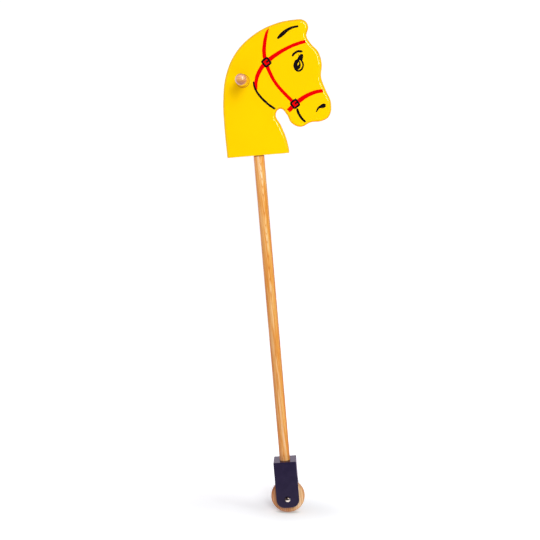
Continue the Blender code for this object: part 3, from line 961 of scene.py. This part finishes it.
def buckleFrame(place, height):
    sizes = buckle
    leaveEditing()
    bpy.ops.mesh.primitive_plane_add(size=mm, rotation=(math.pi / 2, 0, 0), location=(0, 0, 0))
    ring = bpy.context.object
    applyPlace(ring)
    editAll(ring)
    bpy.ops.transform.resize(value=(sizes["size"][0], 1, sizes["size"][1]))
    bpy.ops.mesh.bevel(offset=sizes["corner"] * mm, segments=sizes["cornerSteps"], affect="VERTICES")
    bpy.ops.mesh.select_all(action="SELECT")
    bpy.ops.mesh.inset(thickness=sizes["frame"] * mm, depth=0)
    bpy.ops.mesh.delete(type="FACE")
    bpy.ops.mesh.select_all(action="SELECT")
    bpy.ops.mesh.extrude_region_move(TRANSFORM_OT_translate={"value": (0, 2 * height, 0)})
    bpy.ops.mesh.select_all(action="SELECT")
    layOnFace(place, sizes["turn"], -boardFace - height)
    tidyMesh(ring)
    return ring


def bucklePlate(place, height):  # the red inside the frame
    sizes = buckle
    leaveEditing()
    bpy.ops.mesh.primitive_cube_add(size=mm, location=(0, 0, 0))
    plate = bpy.context.object
    inside = [side - sizes["frame"] for side in sizes["size"]]
    editAll(plate)
    bpy.ops.transform.resize(value=(inside[0], 2 * height / mm, inside[1]))
    layOnFace(place, sizes["turn"])
    return plate


def joinPieces(pieces):
    takeUp(pieces[0])
    for piece in pieces:
        piece.select_set(True)
    bpy.ops.object.join()
    return pieces[0]


def copyToBack(piece):  # the same paint on the board's other face
    takeUp(piece)
    bpy.ops.object.duplicate()
    copy = bpy.context.object
    editAll(copy)
    bpy.ops.transform.resize(value=(1, -1, 1), center_override=(0, 0, 0))
    bpy.ops.mesh.normals_make_consistent(inside=False)
    bpy.ops.object.mode_set(mode="OBJECT")
    return copy


def finishPaint(pieces, name, finish):
    for piece in pieces:
        tidyMesh(piece)
    front = joinPieces(pieces)
    back = copyToBack(front)
    for film, side in ((front, "_front"), (back, "_back")):
        finishPiece(film, name + side, "horse", finish, None, brush["smooth"])


def makePaint():
    red = [brushStroke(points, lift["red"] + i * lift["step"])
           for i, points in enumerate(redStraps.values())]
    red += [bucklePlate(place, lift["red"] + (i + len(red)) * lift["step"])
            for i, place in enumerate(buckle["places"])]
    finishPaint(red, "red_bridle", redInk)

    black = [paintedOval(eye["place"], eye["halfSize"], eye["turn"], lift["black"])]
    black += [brushStroke(roundEnds(points), lift["black"] + (i + 1) * lift["step"])
              for i, points in enumerate(blackLines.values())]
    turn = math.radians(buckle["turn"])
    reach, half = buckle["prong"], buckle["prongHalf"]
    for x, z in buckle["places"]:
        height = lift["black"] + len(black) * lift["step"]
        black.append(buckleFrame((x, z), height))
        tip = (x + reach * math.cos(turn), z + reach * math.sin(turn), half)
        black.append(brushStroke(((x, z, half), tip), height + lift["step"]))
    finishPaint(black, "black_features", blackInk)

    light = [brushStroke(roundEnds(eye[part]), lift["light"]) for part in ("crescent", "glint")]
    finishPaint(light, "eye_light", yellowInk)


makePaint()


# Studio: a floor under the leaning toy's wheel, a white sweep behind and one softbox on the right
studio = {
    "lean": 4.9,  # degrees that the stick leans in the picture
    # a turn is to the right of the camera's side and a rise above level, both in degrees
    "softbox": {"turn": 20, "rise": 19, "away": 3.0, "size": (1.10, 1.62), "power": 52},
    "fills": {  # broad and soft, too dim and wide to be mirrored
        "fill_left": {"turn": -30, "rise": 10, "angle": 100, "strength": 0.68},
        "fill_above": {"turn": 0, "rise": 65, "angle": 100, "strength": 0.8}},
    "fillTint": (1.09, 0.915, 0.90), "fillAway": 3.0,
    "card": {"place": (0.05, -1.2, -1.1), "size": 1.6, "spread": 80, "power": 0.6},
    "floorStrips": {  # low at both sides, for the streaks on the floor
        "strip_right": {"turn": 62, "rise": 13, "away": 0.7, "size": 0.12, "power": 1.6},
        "strip_left": {"turn": -92, "rise": 14, "away": 0.7, "size": 0.12, "power": 0.5}},
    "floorBack": 50.0, "floorFront": 3.0,  # how far the floor reaches behind and before the toy
    "floorGap": 0.1 * mm,  # under the wheel
    "floorPlain": (0.9, 0.9, 0.9, 1), "floorGloss": 0.6,
    "floorTones": ((0.86, 0.94, 0.945), (0.88, 0.96, 0.965)), "floorPitch": 30,
    "backdrop": {"radius": 28, "glow": 1.05, "segments": 48, "rings": 24},
    "walls": (  # from behind the camera to behind the toy
        (0.0, (0.02, 0.02, 0.02)), (0.05, (0.03, 0.03, 0.03)), (0.13, (0.08, 0.08, 0.08)),
        (0.25, (0.17, 0.15, 0.17)), (0.5, (0.55, 0.50, 0.62)), (0.75, (0.86, 0.78, 0.90)),
        (1.0, (1.16, 1.0, 1.20))),
    "heights": (  # what is left of the walls' light from the ground to the ceiling
        (0.0, (0.5, 0.5, 0.5)), (0.4, (0.7, 0.7, 0.7)), (0.5, (1, 1, 1)), (0.68, (1, 1, 1)),
        (0.80, (0.14, 0.14, 0.14)), (1.0, (0.08, 0.08, 0.08))),
    "ground": ((0.0, (1.06, 0.98, 0.92)), (0.22, (1.06, 0.98, 0.92)), (0.345, (0, 0, 0)), (1.0, (0, 0, 0))),
}
# painted shadow on the floor: a haze round the wheel's foot and a darker spot under it, as ovals where its
# glow and colour drop
floorOvals = {
    "shadowHaze": {"place": (-0.09, 0.018, 0), "turn": -6, "size": (0.60, 0.17, 1),
             "from": 0.1, "low": 0.27, "high": 0.62},
    "shadowHazeRight": {"place": (0.04, 0.0, 0), "turn": 0, "size": (0.15, 0.085, 1),
                  "from": 0.2, "low": 0.57, "high": 1.0},
    "spot": {"place": (0, -0.003, 0), "turn": 0, "size": (0.030, 0.0105, 1),
             "from": 0.4, "low": 0.6, "high": 1.0},
}
pictureCamera = {
    "place": (0.1048, -1.6644, -0.1034), "turn": (81.556, 4.827, 2.220), "sensor": 36, "lens": 59.86,
}


def floorFoot():  # where the wheel touches the floor
    lean = math.radians(studio["lean"])
    up = Vector((math.sin(lean), 0, math.cos(lean)))
    return Vector((stickX, 0, axleZ)) - up * (wheelRadius + studio["floorGap"])


def ovalShade(tree, place, oval):  # from low inside an oval on the floor to high at its edge and beyond
    mapping = addNode(tree, "Mapping", vector_type="TEXTURE")
    mapping.inputs["Location"].default_value = oval["place"]
    mapping.inputs["Rotation"].default_value = (0, 0, math.radians(oval["turn"]))
    mapping.inputs["Scale"].default_value = oval["size"]
    tree.links.new(place, mapping.inputs["Vector"])
    away = vectorMath(tree, "LENGTH", mapping.outputs["Vector"])
    return spread(tree, away, oval["from"], 1.0, oval["low"], oval["high"])


def stageScenery(piece, name, finish):  # seen by the camera alone
    piece.name = name
    piece.data.materials.append(finish)
    piece.visible_diffuse = False
    piece.visible_glossy = False
    piece.visible_shadow = False


def makeFloor():
    leaveEditing()
    depth = studio["floorBack"] + studio["floorFront"]
    middle = Vector((0, (studio["floorBack"] - studio["floorFront"]) / 2, 0))
    bpy.ops.mesh.primitive_plane_add(
        size=depth, location=floorFoot() + middle, rotation=(0, math.radians(studio["lean"]), 0))
    floor = bpy.context.object
    finish, tree, shader = startFinish("pale_floor", studio["floorPlain"], studio["floorGloss"])
    place = objectPlace(tree, middle)
    # painted shadow: the spot darkens the floor's colour under the wheel
    spot = ovalShade(tree, place, floorOvals["spot"])
    pale = varyColour(tree, noise(tree, place, studio["floorPitch"]), *studio["floorTones"])
    tree.links.new(blendColours(tree, spot, (0, 0, 0, 1), pale), shader.inputs["Base Color"])
    shader.inputs["Specular IOR Level"].default_value = 0.0
    # painted shadow: the floor's glow drops in the ovals round the wheel's foot
    glow = ovalShade(tree, place, floorOvals["shadowHaze"])
    for other in (ovalShade(tree, place, floorOvals["shadowHazeRight"]), spot):
        glow = numberMath(tree, "MULTIPLY", glow, other)
    tree.links.new(glow, shader.inputs["Emission Strength"])
    shader.inputs["Emission Color"].default_value = (1, 1, 1, 1)
    stageScenery(floor, "studio_floor", finish)


def makeBackdrop():
    sizes = studio["backdrop"]
    leaveEditing()
    bpy.ops.mesh.primitive_uv_sphere_add(
        segments=sizes["segments"], ring_count=sizes["rings"], radius=sizes["radius"], location=(0, 0, 0))
    dome = bpy.context.object
    finish = bpy.data.materials.new("white_backdrop")
    finish.use_nodes = True
    tree = finish.node_tree
    tree.nodes.remove(tree.nodes["Principled BSDF"])
    glow = addNode(tree, "Emission")
    glow.inputs["Strength"].default_value = sizes["glow"]
    tree.links.new(glow.outputs["Emission"], tree.nodes["Material Output"].inputs["Surface"])
    stageScenery(dome, "studio_backdrop", finish)


def lightWay(lamp):
    across, up = math.radians(lamp["turn"]), math.radians(lamp["rise"])
    return Vector((math.sin(across) * math.cos(up), -math.cos(across) * math.cos(up), math.sin(up)))


def addLamp(name, kind, place, way, mirrored=False, **settings):  # shines back along its way
    leaveEditing()
    bpy.ops.object.light_add(type=kind, location=place)
    lamp = bpy.context.object
    lamp.name = name
    lamp.rotation_euler = way.to_track_quat("Z", "Y").to_euler()
    lamp.visible_glossy = mirrored
    for key, value in settings.items():
        setattr(lamp.data, key, value)


def makeLight():
    box = studio["softbox"]
    way = lightWay(box)
    addLamp("softbox", "AREA", way * box["away"], way, mirrored=True, shape="RECTANGLE",
            size=box["size"][0], size_y=box["size"][1], energy=box["power"])
    for name, fill in studio["fills"].items():
        way = lightWay(fill)
        addLamp(name, "SUN", way * studio["fillAway"], way, angle=math.radians(fill["angle"]),
                color=studio["fillTint"], energy=fill["strength"])
    card = studio["card"]  # a white card on the ground before the toy
    addLamp("card", "AREA", card["place"], Vector(card["place"]), size=card["size"],
            spread=math.radians(card["spread"]), energy=card["power"])
    for name, strip in studio["floorStrips"].items():
        way = lightWay(strip)
        addLamp(name, "AREA", floorFoot() + way * strip["away"], way,
                size=strip["size"], energy=strip["power"])


def makeRoom():  # dark behind the camera, with white walls and a pale ground elsewhere
    world = bpy.data.worlds.new("soft_studio")
    bpy.context.scene.world = world
    world.use_nodes = True
    tree = world.node_tree
    axes = splitAxes(tree, addNode(tree, "TexCoord").outputs["Generated"])
    depth = spread(tree, axes["Y"], -1, 1, 0, 1)
    height = spread(tree, axes["Z"], -1, 1, 0, 1)
    walls = ramp(tree, depth, studio["walls"])
    room = blendColours(tree, 1.0, walls, ramp(tree, height, studio["heights"]), "MULTIPLY")
    room = blendColours(tree, 1.0, room, ramp(tree, height, studio["ground"]), "LIGHTEN")
    tree.links.new(room, tree.nodes["Background"].inputs["Color"])


def makeCamera():
    leaveEditing()
    bpy.ops.object.camera_add(location=pictureCamera["place"],
                              rotation=[math.radians(angle) for angle in pictureCamera["turn"]])
    camera = bpy.context.object
    camera.name = "picture_camera"
    camera.data.sensor_width = pictureCamera["sensor"]
    camera.data.lens = pictureCamera["lens"]
    bpy.context.scene.camera = camera


makeFloor()
makeBackdrop()
makeLight()
makeRoom()
makeCamera()
bpy.context.scene.view_settings.view_transform = "Standard"
print("studio ready")

leaveEditing()
